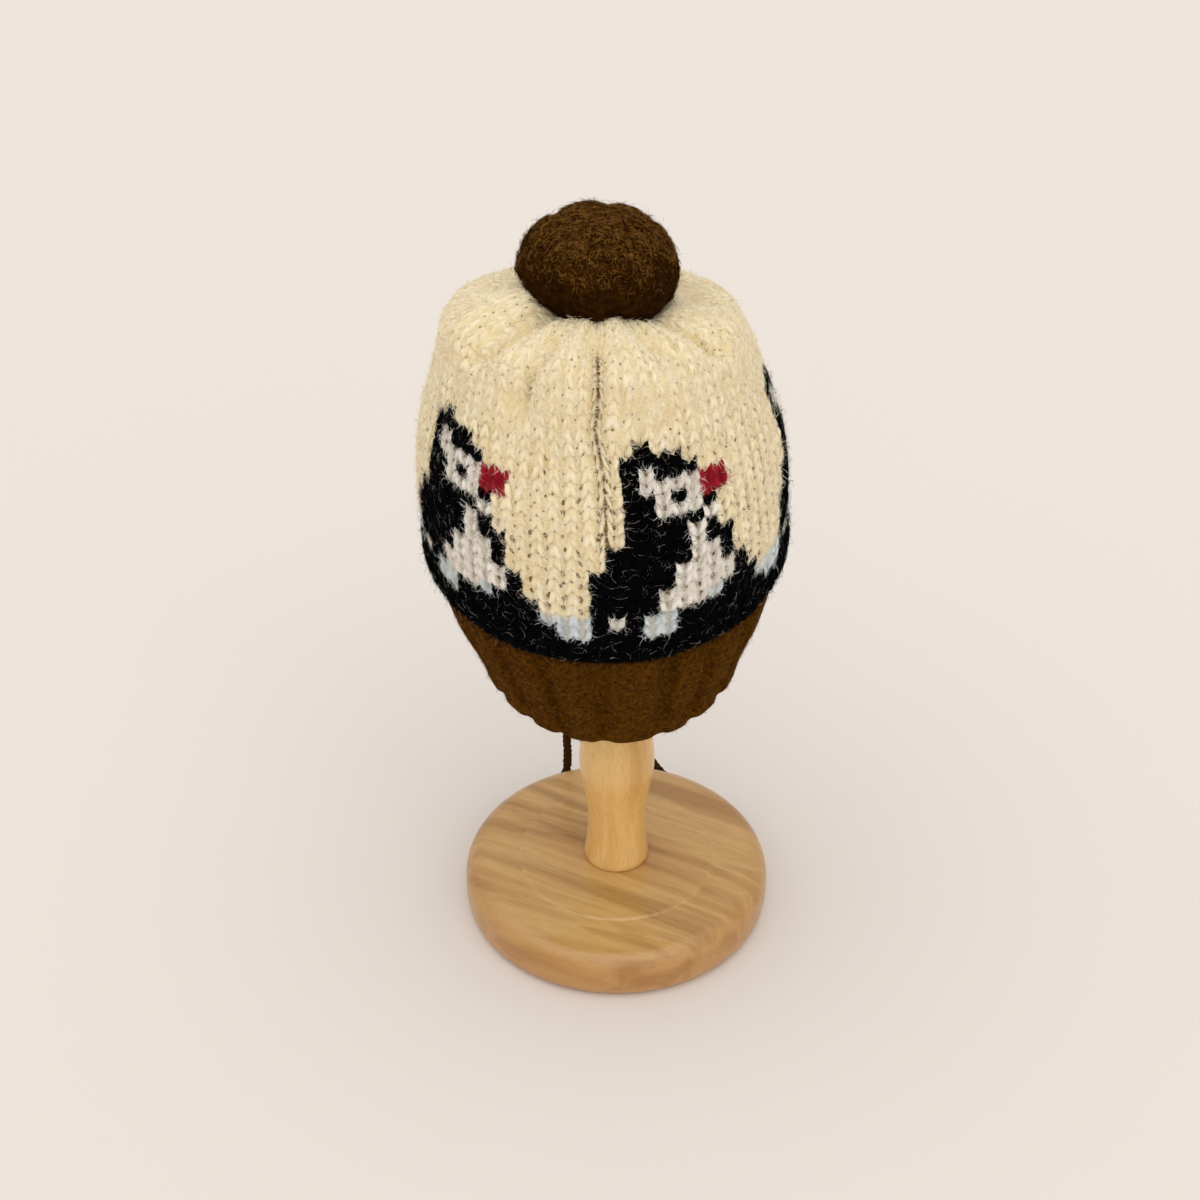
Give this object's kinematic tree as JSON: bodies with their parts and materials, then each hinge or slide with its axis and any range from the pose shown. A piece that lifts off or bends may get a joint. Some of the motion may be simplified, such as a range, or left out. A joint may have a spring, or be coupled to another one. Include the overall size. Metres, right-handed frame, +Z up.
{
  "type": "knitted pompom beanie on a wooden hat stand",
  "caption": "Gathered felted-wool beanie with a ribbed band, a pompom, hanging ties and charted bird figures, resting on a turned wooden stand with a round foot.",
  "frame": {"origin": "centre of the stand's underside, on the surface that it stands on", "axes": "+Z up along the stand's stem, -Y towards the front of the hat, +X to the viewer's right"},
  "size_m": [0.1607, 0.1621, 0.3599],
  "materials": {
    "cream_wool": "felted wool stockinette, fuzzy",
    "brown_rib": "felted wool rib",
    "dark_felt": "felted wool ball, fuzzy",
    "brown_cord": "knitted wool cord",
    "varnished_wood": "turned, satin varnish"
  },
  "bodies": {
    "root": {"crown": "cream_wool", "ribbed_band": "brown_rib", "pompom": "dark_felt", "tie_left": "brown_cord", "tie_right": "brown_cord", "tie_knot_left": "brown_cord", "tie_knot_right": "brown_cord", "stand_base": "varnished_wood", "stand_stem": "varnished_wood", "stand_cap": "varnished_wood"}
  },
  "joints": []
}
